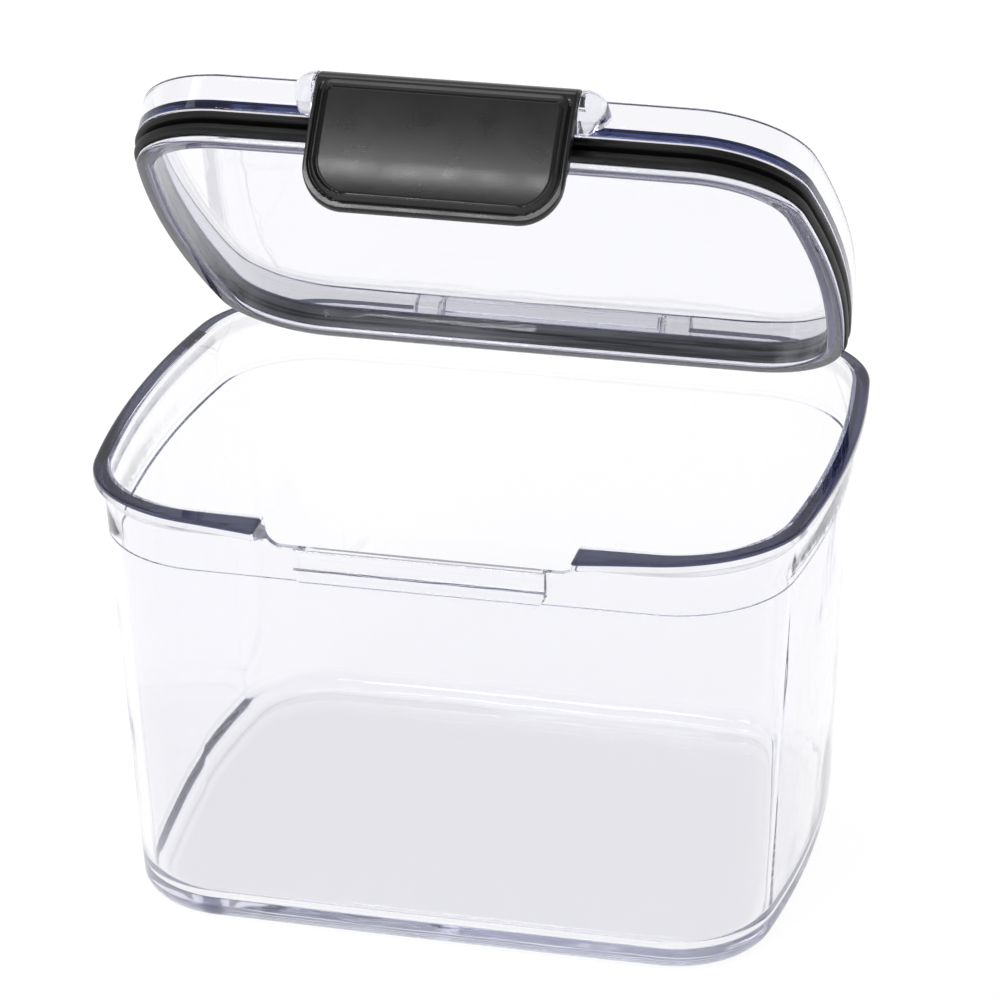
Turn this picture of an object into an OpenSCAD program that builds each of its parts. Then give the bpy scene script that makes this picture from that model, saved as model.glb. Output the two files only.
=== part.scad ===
// Clear food keeper: a drafted tub, a plug lid that drops inside the rim, a seal and a front latch.
// Millimetres. Origin on the underside at the middle of the base, +Z up, front towards -Y.
// The lid stands part open and the latch hangs just clear of its catch.

/* [Tub] */
// Outer width of the wall just below the rim
tub_w = 186; // [150:0.2:240]
// Outer depth of the wall just below the rim
tub_d = 144; // [120:0.2:190]
// Height of the rim above the table
tub_h = 120; // [80:1:200]
// Wall thickness beside the lid
bore_wall = 2.5; // [2.2:0.1:3.4]
// Wall thickness below the ledge
body_wall = 2.9; // [2.4:0.1:4]
// Thickness of the floor
floor_t = 4.5; // [3:0.1:8]
// Lean of the walls, in degrees
draft = 2.65; // [1:0.05:4]
// Lean of the bore that takes the lid, in degrees
bore_draft = 0.9; // [0.2:0.1:1.5]
// Corner radius of the plan at the rim
corner_r = 31.5; // [26:0.5:38]
// Swell of each side from its corners to its middle
side_bow = 8.5; // [4:0.5:12]
// Swell of the front and back from corner to middle
front_bow = 0.8; // [0.4:0.1:3]
// Radius of the outer edge round the base
base_r = 5; // [3:0.5:8]
// Radius between floor and wall inside
floor_r = 6; // [3:0.5:8]

/* [Rim] */
// Reach of the lip beyond the wall
lip_out = 2.4; // [1:0.1:3.5]
// Height of the upright face of the lip
lip_h = 2.6; // [1.5:0.1:5]
// Height of the slope that carries the lip
lip_under = 3; // [1.5:0.1:5]
// Extra reach of the front lip at the middle of the front
flare = 9.5; // [0:0.5:12]
// Half width over which the front lip swells
flare_w = 84; // [60:1:92]
// Rounding of the rim's edges
rim_round = 0.8; // [0.3:0.1:1.2]
// Depth of the smooth bore that takes the lid
bore_depth = 17; // [15.2:0.1:24]

/* [Lid] */
// Gap between the lid's skirt and the bore
lid_gap = 1; // [0.7:0.05:1.5]
// Height of the lid's top above the rim
lid_rise = 1.1; // [0:0.1:3]
// Thickness of the lid's plate, which lies just above the seal
plate_t = 2.4; // [1.8:0.1:3.5]
// Height of the skirt that stands up round the plate
skirt_h = 9.6; // [8.6:0.1:11]
// Thickness of the skirt
skirt_t = 2; // [1.4:0.1:2.6]
// Rounding of the skirt's top edges
lid_round = 0.5; // [0.2:0.1:0.6]
// How far the lid stands open, in degrees
lid_open = 43.8; // [0:0.1:105]

/* [Seal] */
// Height of the seal
seal_h = 5.8; // [4.5:0.1:7]
// Gap between the upper lobe and the bore
seal_gap = 0.8; // [0.7:0.05:1.4]
// How much smaller the lower lobe is
lobe_step = 0.35; // [0.2:0.05:0.8]
// Depth of the groove between the lobes
seal_groove = 1.6; // [0.6:0.1:2.2]
// Wall of the retainer ring
retainer_t = 2.2; // [1.6:0.1:3]
// Reach of the retainer's lip under the seal
retainer_lip = 0.5; // [0.2:0.1:0.8]
// Height of the retainer's lip
retainer_lip_h = 1.7; // [1:0.1:2.5]
// Gap between the skirt and the retainer
retainer_gap = 1.4; // [0.6:0.1:2]
// Extra inset of the retainer at front and back, for the swing
swing_inset = 2; // [1:0.1:3]

/* [Hinge] */
// Distance of the hinge axis behind the rear wall
hinge_back = 2; // [1.6:0.1:4]
// Depth of the hinge axis below the rim
hinge_drop = 1.2; // [0.5:0.1:2]
// Half length of the lid's hinge barrel
barrel_half = 30.5; // [20:0.5:38]
// Radius of the hinge barrel
barrel_r = 3.6; // [3:0.1:3.8]
// Radius of the tub's hinge ears
hinge_ear_r = 4; // [3.4:0.1:4.2]
// Width of each hinge ear
hinge_ear_w = 7.6; // [4:0.1:10]
// Radius of all the trunnions
trunnion_r = 2; // [1.4:0.1:2.4]
// Length of each trunnion beyond its barrel
trunnion_l = 3.2; // [2:0.1:3.6]
// Radial running clearance of a trunnion in its socket
running = 0.05; // [0.02:0.01:0.1]
// Gap between a barrel's end and its ear
end_gap = 0.4; // [0.3:0.05:0.8]

/* [Latch] */
// Width of the latch
latch_w = 65.2; // [44:0.2:80]
// Length of the latch below its pivot
latch_l = 32.5; // [28:0.5:44]
// Radius of the latch's pivot barrel
latch_barrel_r = 3.8; // [3:0.1:4]
// Depth of the latch pivot below the rim
pivot_drop = 2.9; // [2:0.1:4]
// Distance of the latch pivot in front of the skirt
pivot_reach = 5.5; // [4.4:0.1:7]
// Thickness of the latch at its tip
latch_tip_t = 2.3; // [1.8:0.1:3.5]
// Reach of the latch's front face beyond its barrel at the top
latch_brow = 1; // [0:0.1:2]
// Crown of the latch's front face
latch_crown = 0.7; // [0:0.1:1.5]
// Radius of the latch's lower corners
latch_corner_r = 11; // [4:0.5:14]
// Width of the border round the grip panel
border_w = 2.6; // [2:0.1:5]
// Depth of the groove round the grip panel
border_groove = 0.6; // [0.3:0.1:0.9]
// Width of the groove round the grip panel
border_groove_w = 0.9; // [0.5:0.1:1.5]
// Depth of the panel's top edge below the pivot
panel_drop = 0.6; // [0:0.1:5]
// How far the latch hangs out from its locked place, in degrees
latch_swing = 4.5; // [4.5:0.1:105]
// Radius of the lid's latch ears round the pivot
ear_r = 4; // [3.4:0.1:4.4]
// Width of each latch ear
ear_w = 6.6; // [5:0.1:8]

/* [Catch] */
// Half width of the raised catch pad
pad_half = 32.2; // [20:0.2:40]
// Depth of the catch ledge below the rim
catch_drop = 17.5; // [14:0.1:20]
// Reach of the catch pad beyond the wall at the rim
pad_out = 1.3; // [0.6:0.1:1.6]
// Radius of the pad's lower corners
pad_r = 5; // [2:0.5:8]
// How far the hook reaches under the ledge
hook_bite = 0.8; // [0.4:0.1:1]
// Height of the hook
hook_h = 2.6; // [1.5:0.1:4]
// Clearance between parts that swing past each other
swing_gap = 0.4; // [0.3:0.05:0.8]
// Gap round the ears in the front notch
notch_gap = 0.4; // [0.35:0.05:1.2]
// Rounding at the top of the front notch
notch_round = 1.2; // [0.5:0.1:2.5]

/* [Hidden] */
$fn = 48;
join = 0.5;
big = 400;
clear_plastic = [0.82, 0.85, 0.93, 0.4];
seal_black = [0.07, 0.07, 0.08];
latch_black = [0.12, 0.12, 0.13];

// Segments of each arc in one quarter of the plan, and of each rounded edge
side_n = 5;
corner_n = 9;
front_n = 8;
round_n = 4;

// Plan at the rim: a side arc, a corner arc and a front arc that meet on tangents
half_w = tub_w / 2;
half_d = tub_d / 2;
side_R = (half_d * half_d + side_bow * side_bow) / (2 * side_bow);
front_R = (half_w * half_w + front_bow * front_bow) / (2 * front_bow);
side_c = [half_w - side_R, 0];
front_c = [0, half_d - front_R];
arc_gap = norm(front_c - side_c);
arc_dir = (front_c - side_c) / arc_gap;
near_r = side_R - corner_r;
far_r = front_R - corner_r;
along = (near_r * near_r - far_r * far_r + arc_gap * arc_gap) / (2 * arc_gap);
across = sqrt(near_r * near_r - along * along);
corner_c = side_c + arc_dir * along + [-arc_dir.y, arc_dir.x] * across;
side_end = atan2(corner_c.y - side_c.y, corner_c.x - side_c.x);
front_start = atan2(corner_c.y - front_c.y, corner_c.x - front_c.x);

// One quarter as [x, y, normal x, normal y], then the whole loop, counterclockwise
quarter = concat(
    [for (i = [0 : side_n]) on_arc(side_c, side_R, side_end * i / side_n)],
    [for (i = [1 : corner_n]) on_arc(corner_c, corner_r, side_end + (front_start - side_end) * i / corner_n)],
    [for (i = [1 : front_n]) on_arc(front_c, front_R, front_start + (90 - front_start) * i / front_n)]);
last = len(quarter) - 1;
outline = concat(
    quarter,
    [for (i = [last - 1 : -1 : 0]) turned(quarter[i], -1, 1)],
    [for (i = [1 : last]) turned(quarter[i], -1, -1)],
    [for (i = [last - 1 : -1 : 1]) turned(quarter[i], 1, -1)]);
loop_n = len(outline);

function on_arc(c, r, a) = [c.x + r * cos(a), c.y + r * sin(a), cos(a), sin(a)];
function turned(p, sx, sy) = [p[0] * sx, p[1] * sy, p[2] * sx, p[3] * sy];

// The plan moved in by one inset across and another along the depth, at height z
function ring(inset_x, inset_y, z) =
    [for (p = outline) [p[0] - inset_x * p[2], p[1] - inset_y * p[3], z]];
function inset_ring(inset, z) = ring(inset, inset, z);
// The seal's seat on the retainer, which stands further in at the front and back, moved in by an inset
function seat_ring(inset, z) = ring(seal_in + inset, seal_in + swing_inset + inset, z);
// The lip's plan, which swells forward towards the middle of the front
function swell(x) = abs(x) < flare_w ? flare * (1 + cos(180 * x / flare_w)) / 2 : 0;
function lip_ring(reach, z) =
    [for (p = outline) [p[0] + reach * p[2], p[1] + reach * p[3] - (p[3] < 0 ? swell(p[0]) : 0), z]];
// Lean of the outer wall at height z
function lean(z) = (tub_h - z) * tan(draft);

// Triangles between rings of equal length; closed rings wrap round, open stacks get two caps
function band(i, k) = [for (j = [0 : loop_n - 1]) let (n = (j + 1) % loop_n)
    for (t = [0, 1]) t == 0
        ? [i * loop_n + j, k * loop_n + j, k * loop_n + n]
        : [i * loop_n + j, k * loop_n + n, i * loop_n + n]];
function flat(list) = [for (a = list) for (b = a) b];

module stack(rings) {
    top = (len(rings) - 1) * loop_n;
    polyhedron(
        points = flat(rings),
        faces = concat(
            flat([for (i = [0 : len(rings) - 2]) band(i, i + 1)]),
            [[for (j = [0 : loop_n - 1]) j]],
            [[for (j = [loop_n - 1 : -1 : 0]) top + j]]));
}

module hoop(rings) {
    polyhedron(
        points = flat(rings),
        faces = flat([for (i = [0 : len(rings) - 1]) band(i, (i + 1) % len(rings))]));
}

// Heights and places that several pieces share
rim_z = tub_h;
ledge_z = rim_z - bore_depth;
lid_top = rim_z + lid_rise;
skirt_z = lid_top - skirt_h;
plate_z = skirt_z + plate_t;
seal_z = skirt_z - seal_h;
retainer_z = seal_z - retainer_lip_h;
skirt_in = bore_wall + lid_gap;
seal_in = skirt_in + skirt_t + retainer_gap;
hinge_y = half_d + hinge_back;
hinge_z = rim_z - hinge_drop;
hinge_ear_x = barrel_half + end_gap;
socket_end = barrel_half + trunnion_l + end_gap;
hinge_notch_z = hinge_z - barrel_r - 3 * swing_gap;
skirt_front = -(half_d - skirt_in);
ear_back = skirt_front + skirt_t / 2;
pivot_y = skirt_front - pivot_reach;
pivot_z = rim_z - pivot_drop;
ear_x = latch_w / 2 + end_gap;
ear_mid_x = ear_x + ear_w - ear_r;
notch_r = ear_r + notch_gap;
notch_z = pivot_z - notch_r;
catch_z = rim_z - catch_drop;
pad_y = -(half_d + pad_out);

// Places a piece of the lid, or of the latch on it, where it stands
module on_lid() {
    translate([0, hinge_y, hinge_z])
        rotate([-lid_open, 0, 0])
            translate([0, -hinge_y, -hinge_z])
                children();
}

module on_latch() {
    on_lid()
        translate([0, pivot_y, pivot_z])
            rotate([-latch_swing, 0, 0])
                children();
}

// A round bar along X from x0 to x1
module bar(r, x0, x1) {
    translate([x0, 0, 0])
        rotate([0, 90, 0])
            cylinder(r = r, h = x1 - x0);
}

// Tub wall and floor, drawn as one skin from the underside over the rim to the inside floor
module shell() {
    foot = lean(base_r);
    inner_foot = lean(floor_t + floor_r) + body_wall;
    lip_z = rim_z - lip_h;
    wall_end = lip_z - lip_under;
    stack(concat(
        [for (i = [0 : round_n]) let (a = 90 * i / round_n)
            inset_ring(foot + base_r * (1 - sin(a)), base_r * (1 - cos(a)))],
        [inset_ring(lean(wall_end), wall_end)],
        [lip_ring(lip_out, lip_z)],
        [for (i = [0 : 2]) let (a = 45 * i)
            lip_ring(lip_out - rim_round * (1 - cos(a)), rim_z - rim_round * (1 - sin(a)))],
        [for (i = [0 : 2]) let (a = 45 * i)
            inset_ring(bore_wall - rim_round * (1 - sin(a)), rim_z - rim_round * (1 - cos(a)))],
        [inset_ring(bore_wall + bore_depth * tan(bore_draft), ledge_z)],
        [inset_ring(lean(ledge_z) + body_wall, ledge_z)],
        [for (i = [0 : round_n]) let (a = 90 * i / round_n)
            inset_ring(inner_foot + floor_r * (1 - cos(a)), floor_t + floor_r * (1 - sin(a)))]));
}

// Raised pad on the front wall, whose lower edge is the catch ledge
module catch_pad() {
    depth = bore_wall + pad_out - join;
    translate([0, pad_y + depth, 0])
        rotate([90, 0, 0])
            linear_extrude(depth)
                union() {
                    translate([-pad_half, catch_z + pad_r])
                        square([2 * pad_half, notch_z - catch_z]);
                    translate([-pad_half + pad_r, catch_z])
                        square([2 * (pad_half - pad_r), pad_r + join]);
                    for (s = [-1, 1])
                        translate([s * (pad_half - pad_r), catch_z + pad_r])
                            circle(pad_r);
                }
}

// The front notch, with round ends that nest the lid's domed ears
module front_notch() {
    depth = bore_wall + lip_out + flare + pad_out + 2 * join;
    top_x = ear_mid_x + notch_r;
    translate([0, -half_d + bore_wall + join, 0])
        rotate([90, 0, 0])
            linear_extrude(depth)
                union() {
                    translate([-ear_mid_x, notch_z])
                        square([2 * ear_mid_x, big]);
                    for (s = [-1, 1])
                        translate([s * ear_mid_x, pivot_z])
                            circle(notch_r);
                    translate([-top_x, pivot_z])
                        square([2 * top_x, big]);
                    difference() {
                        translate([-top_x - notch_round, rim_z - notch_round])
                            square([2 * (top_x + notch_round), big]);
                        for (s = [-1, 1])
                            translate([s * (top_x + notch_round), rim_z - notch_round])
                                circle(notch_round);
                    }
                }
}

// The rear notch that the lid's hinge barrel turns in
module rear_notch() {
    translate([-hinge_ear_x, half_d - bore_wall - join, hinge_notch_z])
        cube([2 * hinge_ear_x, bore_wall + lip_out + 2 * join, big]);
}

// One round ear on the rear of the tub, on one side, with the gusset that carries it
module hinge_ear(side) {
    near = side * hinge_ear_x;
    far = side * (hinge_ear_x + hinge_ear_w);
    gusset = 3 * hinge_ear_r;
    gusset_in = hinge_ear_r / 2;
    translate([0, hinge_y, hinge_z])
        bar(hinge_ear_r, min(near, far), max(near, far));
    translate([min(near, far), 0, 0])
        rotate([90, 0, 90])
            linear_extrude(hinge_ear_w)
                polygon([
                    [half_d - bore_wall + join, hinge_z - join],
                    [half_d - bore_wall + join, hinge_z - gusset],
                    [half_d - join, hinge_z - gusset],
                    [hinge_y + hinge_ear_r - join, hinge_z - gusset_in],
                    [hinge_y + gusset_in, hinge_z - join]]);
}

module container() {
    color(clear_plastic)
        difference() {
            union() {
                difference() {
                    union() {
                        shell();
                        catch_pad();
                    }
                    front_notch();
                    rear_notch();
                }
                hinge_ear(-1);
                hinge_ear(1);
            }
            translate([0, hinge_y, hinge_z]) {
                bar(trunnion_r + running, hinge_ear_x - join, socket_end);
                bar(trunnion_r + running, -socket_end, join - hinge_ear_x);
            }
        }
}

// Plate of the lid and the skirt that stands up round it, lid closed
module lid_shell() {
    inside = skirt_in + skirt_t;
    stack(concat(
        [inset_ring(skirt_in, skirt_z)],
        [for (i = [0 : 2]) let (a = 45 * i)
            inset_ring(skirt_in + lid_round * (1 - cos(a)), lid_top - lid_round * (1 - sin(a)))],
        [for (i = [0 : 2]) let (a = 45 * i)
            inset_ring(inside - lid_round * (1 - sin(a)), lid_top - lid_round * (1 - cos(a)))],
        [inset_ring(inside, plate_z)]));
}

// A latch ear seen from the front, from above and from the side
module ear_front() {
    union() {
        translate([ear_mid_x, pivot_z])
            circle(ear_r);
        translate([ear_x, pivot_z - ear_r])
            square([ear_mid_x - ear_x, 2 * ear_r]);
        translate([ear_x, pivot_z])
            square([ear_w, ear_r]);
    }
}

module ear_plan() {
    dome_y = pivot_y - ear_r + ear_w;
    union() {
        translate([ear_x, dome_y])
            circle(ear_w);
        translate([ear_x, dome_y])
            square([ear_w, ear_back - dome_y]);
    }
}

module ear_side() {
    union() {
        translate([pivot_y, pivot_z])
            circle(ear_r);
        translate([pivot_y, pivot_z - ear_r])
            square([ear_back - pivot_y, 2 * ear_r]);
    }
}

// One domed ear that carries the latch, with a blind socket for its trunnion
module latch_ear() {
    difference() {
        intersection() {
            translate([0, ear_back, 0])
                rotate([90, 0, 0])
                    linear_extrude(big)
                        ear_front();
            linear_extrude(big)
                ear_plan();
            translate([ear_x, 0, 0])
                rotate([90, 0, 90])
                    linear_extrude(ear_w)
                        ear_side();
        }
        translate([ear_x, pivot_y, pivot_z])
            bar(trunnion_r + running, -join, trunnion_l);
    }
}

// Hinge barrel at the back of the lid, its web and its two trunnions
module hinge_barrel() {
    web_y = half_d - skirt_in - skirt_t / 2;
    translate([0, hinge_y, hinge_z]) {
        bar(barrel_r, -barrel_half, barrel_half);
        bar(trunnion_r, -barrel_half - trunnion_l, barrel_half + trunnion_l);
    }
    translate([-barrel_half, web_y, hinge_z - barrel_r / 2])
        cube([2 * barrel_half, hinge_y - web_y, barrel_r]);
}

module lid() {
    color(clear_plastic)
        on_lid()
            union() {
                lid_shell();
                hinge_barrel();
                latch_ear();
                mirror([1, 0, 0])
                    latch_ear();
            }
}

// Clear ring under the plate: its wall backs the seal and its lip holds the seal up
module seal_retainer() {
    color(clear_plastic)
        on_lid()
            hoop([
                seat_ring(0, skirt_z),
                seat_ring(retainer_t, skirt_z),
                seat_ring(retainer_t, retainer_z + rim_round),
                seat_ring(retainer_t - rim_round, retainer_z),
                seat_ring(rim_round - retainer_lip, retainer_z),
                seat_ring(-retainer_lip, retainer_z + rim_round),
                seat_ring(-retainer_lip, seal_z),
                seat_ring(0, seal_z)]);
}

// Two-lobed seal that sits between the plate and the retainer's lip
module lid_seal() {
    upper = bore_wall + seal_gap;
    lower = upper + lobe_step;
    lobe = seal_h / 2;
    soft = lobe / 4;
    mid = skirt_z - lobe;
    color(seal_black)
        on_lid()
            hoop([
                seat_ring(0, skirt_z),
                seat_ring(0, seal_z),
                inset_ring(lower + 1.5 * soft, seal_z),
                inset_ring(lower + soft / 2, seal_z + soft / 2),
                inset_ring(lower, seal_z + 1.5 * soft),
                inset_ring(lower + soft / 2, mid - soft),
                inset_ring(lower + seal_groove, mid - soft / 2),
                inset_ring(upper + seal_groove, mid + soft / 2),
                inset_ring(upper + soft / 2, mid + soft),
                inset_ring(upper, skirt_z - 1.5 * soft),
                inset_ring(upper + soft / 2, skirt_z - soft / 2),
                inset_ring(upper + 1.5 * soft, skirt_z)]);
}

// Latch profile in its own frame, pivot at the origin, locked, hanging along -Z with its front towards -Y
flap_in = pad_y - swing_gap - pivot_y;
flap_out = -latch_barrel_r - latch_brow;
tip_in = -(half_d - lean(pivot_z - latch_l)) - swing_gap - pivot_y;
tip_out = tip_in - latch_tip_t;
tip_round = latch_tip_t / 3;
hook_top = catch_z - swing_gap - pivot_z;
hook_in = pad_y + hook_bite - pivot_y;
latch_profile = [
    [0, latch_barrel_r],
    [flap_out + latch_brow, latch_barrel_r / 2],
    [flap_out, 0],
    [(tip_out + flap_out) / 2 - latch_crown, -latch_l / 2],
    [tip_out, -latch_l + tip_round],
    [tip_out + tip_round, -latch_l],
    [tip_in - tip_round, -latch_l],
    [tip_in, -latch_l + tip_round],
    [flap_in, hook_top - 2 * hook_h],
    [hook_in, hook_top - hook_h],
    [hook_in, hook_top],
    [flap_in, hook_top],
    [flap_in, 0]];

// Front outline of the latch, moved in by an inset, with round lower corners
module latch_outline(inset, top) {
    half = latch_w / 2 - inset;
    low = -latch_l + inset;
    r = max(latch_corner_r - inset, 1);
    union() {
        translate([-half, low + r])
            square([2 * half, top - low - r]);
        translate([-half + r, low])
            square([2 * (half - r), r + join]);
        for (s = [-1, 1])
            translate([s * (half - r), low + r])
                circle(r);
    }
}

// The groove round the grip panel, which follows the lean of the front face
module panel_groove() {
    face = asin((tip_out - flap_out) / latch_l);
    rotate([face, 0, 0])
        translate([0, flap_out + border_groove, 0])
            rotate([90, 0, 0])
                linear_extrude(latch_barrel_r)
                    difference() {
                        latch_outline(border_w, -panel_drop);
                        latch_outline(border_w + border_groove_w, -panel_drop - border_groove_w);
                    }
}

module latch() {
    color(latch_black)
        on_latch()
            union() {
                difference() {
                    intersection() {
                        union() {
                            translate([-latch_w / 2, 0, 0])
                                rotate([90, 0, 90])
                                    linear_extrude(latch_w)
                                        polygon(latch_profile);
                            bar(latch_barrel_r, -latch_w / 2, latch_w / 2);
                        }
                        translate([0, latch_l, 0])
                            rotate([90, 0, 0])
                                linear_extrude(2 * latch_l)
                                    latch_outline(0, 2 * latch_barrel_r);
                    }
                    panel_groove();
                }
                bar(trunnion_r, -latch_w / 2 - trunnion_l + running, latch_w / 2 + trunnion_l - running);
            }
}

container();
lid();
seal_retainer();
lid_seal();
latch();
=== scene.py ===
"""Looks of the clear food keeper: clear mouldings, a black seal and a black latch in a pale studio."""
import math

import bpy
import numpy as np
from mathutils import Matrix, Vector


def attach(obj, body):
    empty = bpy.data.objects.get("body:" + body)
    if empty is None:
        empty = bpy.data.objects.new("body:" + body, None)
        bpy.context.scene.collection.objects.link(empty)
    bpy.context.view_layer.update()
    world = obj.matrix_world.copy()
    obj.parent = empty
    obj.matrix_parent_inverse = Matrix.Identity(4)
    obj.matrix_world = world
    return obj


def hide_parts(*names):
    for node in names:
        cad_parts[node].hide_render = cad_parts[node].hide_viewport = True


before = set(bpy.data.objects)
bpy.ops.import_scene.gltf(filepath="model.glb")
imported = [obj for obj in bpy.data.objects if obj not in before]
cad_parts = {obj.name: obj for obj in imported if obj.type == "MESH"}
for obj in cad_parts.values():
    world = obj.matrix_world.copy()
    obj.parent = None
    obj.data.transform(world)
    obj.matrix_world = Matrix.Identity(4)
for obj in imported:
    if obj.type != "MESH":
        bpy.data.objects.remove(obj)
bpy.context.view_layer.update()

MM = 0.001

# Sizes in millimetres: those of the solids, but for small forms that only show in the looks
half_w, half_d, rim_z = 93.0, 72.0, 120.0
corner_r, side_bow, front_bow = 31.5, 8.5, 0.8
draft, bore_draft = math.radians(2.65), math.radians(0.9)
bore_wall, body_wall, floor_t = 2.5, 2.9, 4.5
base_r, floor_r = 5.0, 6.0
lip_out, lip_h, lip_under = 2.4, 2.6, 3.0
flare, flare_w = 9.5, 84.0
ledge_z, bore_close = 103.0, 0.5
lid_top, plate_z, skirt_z = 121.1, 113.9, 111.5
skirt_in, skirt_t = 3.5, 2.0
seal_z, retainer_z = 105.7, 104.0
seal_in, swing_inset = 6.9, 2.0
retainer_t, retainer_lip = 2.2, 2.4
hinge_y, hinge_z, lid_open = 74.0, 118.8, math.radians(43.8)
barrel_half, barrel_r = 30.5, 3.6
hinge_ear_x, hinge_ear_w, hinge_ear_r = 30.9, 7.6, 4.0
trunnion_r, trunnion_l, running = 2.0, 1.0, 0.05
pivot_y, pivot_z = -74.0, 117.1
ear_x, ear_w, ear_r, ear_back = 33.0, 6.3, 4.0, -67.5
latch_half, latch_l, latch_barrel_r = 32.6, 32.5, 3.8
latch_corner_r, latch_swing = 11.0, math.radians(4.5)
pad_half, pad_r, pad_y, catch_z = 32.2, 5.0, -73.3, 102.5
notch_mid, notch_r = 35.6, 4.4
pad_step, pad_step_z = 0.8, 107.7
air = 0.05

# Plan at the rim: a side arc, a corner arc and a front arc that meet on tangents
side_R = (half_d ** 2 + side_bow ** 2) / (2 * side_bow)
front_R = (half_w ** 2 + front_bow ** 2) / (2 * front_bow)
side_c = np.array([half_w - side_R, 0.0])
front_c = np.array([0.0, half_d - front_R])
arc_gap = np.linalg.norm(front_c - side_c)
arc_dir = (front_c - side_c) / arc_gap
near_r, far_r = side_R - corner_r, front_R - corner_r
along = (near_r ** 2 - far_r ** 2 + arc_gap ** 2) / (2 * arc_gap)
across = math.sqrt(near_r ** 2 - along ** 2)
corner_c = side_c + arc_dir * along + np.array([-arc_dir[1], arc_dir[0]]) * across
side_end = math.atan2(*(corner_c - side_c)[::-1])
front_start = math.atan2(*(corner_c - front_c)[::-1])
front_x = front_c[0] + front_R * math.cos(front_start)


def on_arc(c, r, a):
    """Plan points with their outward normals: x, y, normal x, normal y."""
    return np.stack([c[0] + r * np.cos(a), c[1] + r * np.sin(a), np.cos(a), np.sin(a)], -1)


def side_and_corner(side_n, corner_n):
    """From the middle of the right side round its rear corner, without the corner's last point."""
    side = on_arc(side_c, side_R, np.linspace(0, side_end, side_n + 1))
    corner = on_arc(corner_c, corner_r, np.linspace(side_end, front_start, corner_n + 1))
    return np.vstack([side, corner[1:-1]])


def on_front(x, sign):
    """Plan points on the front (sign -1) or rear (sign 1) arc at each x."""
    up = np.sqrt(front_R ** 2 - x ** 2)
    return np.stack([x, sign * (half_d - front_R + up), x / front_R, sign * up / front_R], -1)


def turned(points, sx, sy):
    """Plan points mirrored across an axis, or both, with their normals."""
    return points * np.array([sx, sy, sx, sy])


def whole_plan(side_n=16, corner_n=36, front_n=30):
    """The whole plan, counterclockwise from the middle of the right side."""
    part = side_and_corner(side_n, corner_n)
    rear = on_front(np.linspace(front_x, -front_x, 2 * front_n + 1), 1)
    front = on_front(np.linspace(-front_x, front_x, 2 * front_n + 1), -1)
    return np.vstack([part, rear, turned(part[::-1], -1, 1), turned(part[1:], -1, -1), front,
                      turned(part[:0:-1], 1, -1)])


def lean(z):
    """Inset of the drafted wall below the rim."""
    return (rim_z - z) * math.tan(draft)


def swell(x):
    """How far the lip swells forward across the front."""
    return np.where(np.abs(x) < flare_w, flare * (1 + np.cos(np.pi * x / flare_w)) / 2, 0.0)


def smooth(a, b, v):
    """A smooth step from 0 at a to 1 at b."""
    t = np.clip((v - a) / (b - a), 0, 1)
    return t * t * (3 - 2 * t)


def bump(v):
    """A round hump from -1 to 1."""
    return np.clip(1 - v * v, 0, 1) ** 2


def soft_ramp(v, a, b, width):
    """A straight ramp from 0 at a to 1 at b whose two corners are rounded over a width."""
    def area(t):
        t = np.asarray(t, float)
        rise = np.clip(t, a, b) - a
        return rise * rise / (2 * (b - a)) + np.clip(t - b, 0, None)
    return (area(v + width / 2) - area(v - width / 2)) / width


def fillet(points, radii, closed, n=5):
    """Rounds the corners of a polyline of [a, b] points, each by less than half of the sides beside it."""
    most = 0.48
    weight = math.sqrt(0.5)
    pts = [np.array(p, float) for p in points]
    out = []
    for i, p in enumerate(pts):
        r = radii[i]
        if r == 0 or (not closed and i in (0, len(pts) - 1)):
            out.append(p)
            continue
        before, after = pts[i - 1] - p, pts[(i + 1) % len(pts)] - p
        cut_b = min(r, most * np.linalg.norm(before))
        cut_a = min(r, most * np.linalg.norm(after))
        start = p + before / np.linalg.norm(before) * cut_b
        end = p + after / np.linalg.norm(after) * cut_a
        for t in np.linspace(0, 1, n + 1):
            near, mid, far = (1 - t) ** 2, 2 * weight * t * (1 - t), t ** 2
            out.append((near * start + mid * p + far * end) / (near + mid + far))
    return np.array(out)


# Meshes
sharp_angle = 35


def new_object(name, verts, faces, sharp=sharp_angle):
    """An object of points in millimetres, smooth but for edges sharper than an angle in degrees."""
    mesh = bpy.data.meshes.new(name)
    mesh.from_pydata((np.asarray(verts) * MM).tolist(), [], faces)
    mesh.validate()
    mesh.shade_smooth()
    mesh.set_sharp_from_angle(angle=math.radians(sharp))
    made = bpy.data.objects.new(name, mesh)
    bpy.context.scene.collection.objects.link(made)
    return made


def grid_faces(rows, cols, wrap_rows, wrap_cols):
    """Four-sided faces of a grid of points, wrapped round where asked."""
    faces = []
    for i in range(rows if wrap_rows else rows - 1):
        row = i * cols
        after = (i + 1) % rows * cols
        for j in range(cols if wrap_cols else cols - 1):
            n = (j + 1) % cols
            faces.append((row + j, row + n, after + n, after + j))
    return faces


def loft(rows, ends=True):
    """Faces and points of stacked closed rings; ends closes the first and last ring with caps."""
    rows = np.asarray(rows)
    count, cols = rows.shape[:2]
    faces = grid_faces(count, cols, not ends, True)
    if ends:
        faces.append(tuple(range(cols - 1, -1, -1)))
        faces.append(tuple((count - 1) * cols + j for j in range(cols)))
    return rows.reshape(-1, 3), faces


def paint(made, looks, cols, *ranges):
    """Gives a lofted piece its looks: the first one, then one for each range of rows."""
    for look in looks:
        made.data.materials.append(look)
    for index, rows in enumerate(ranges):
        for face in made.data.polygons[rows[0] * cols:rows[1] * cols]:
            face.material_index = index + 1


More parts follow.
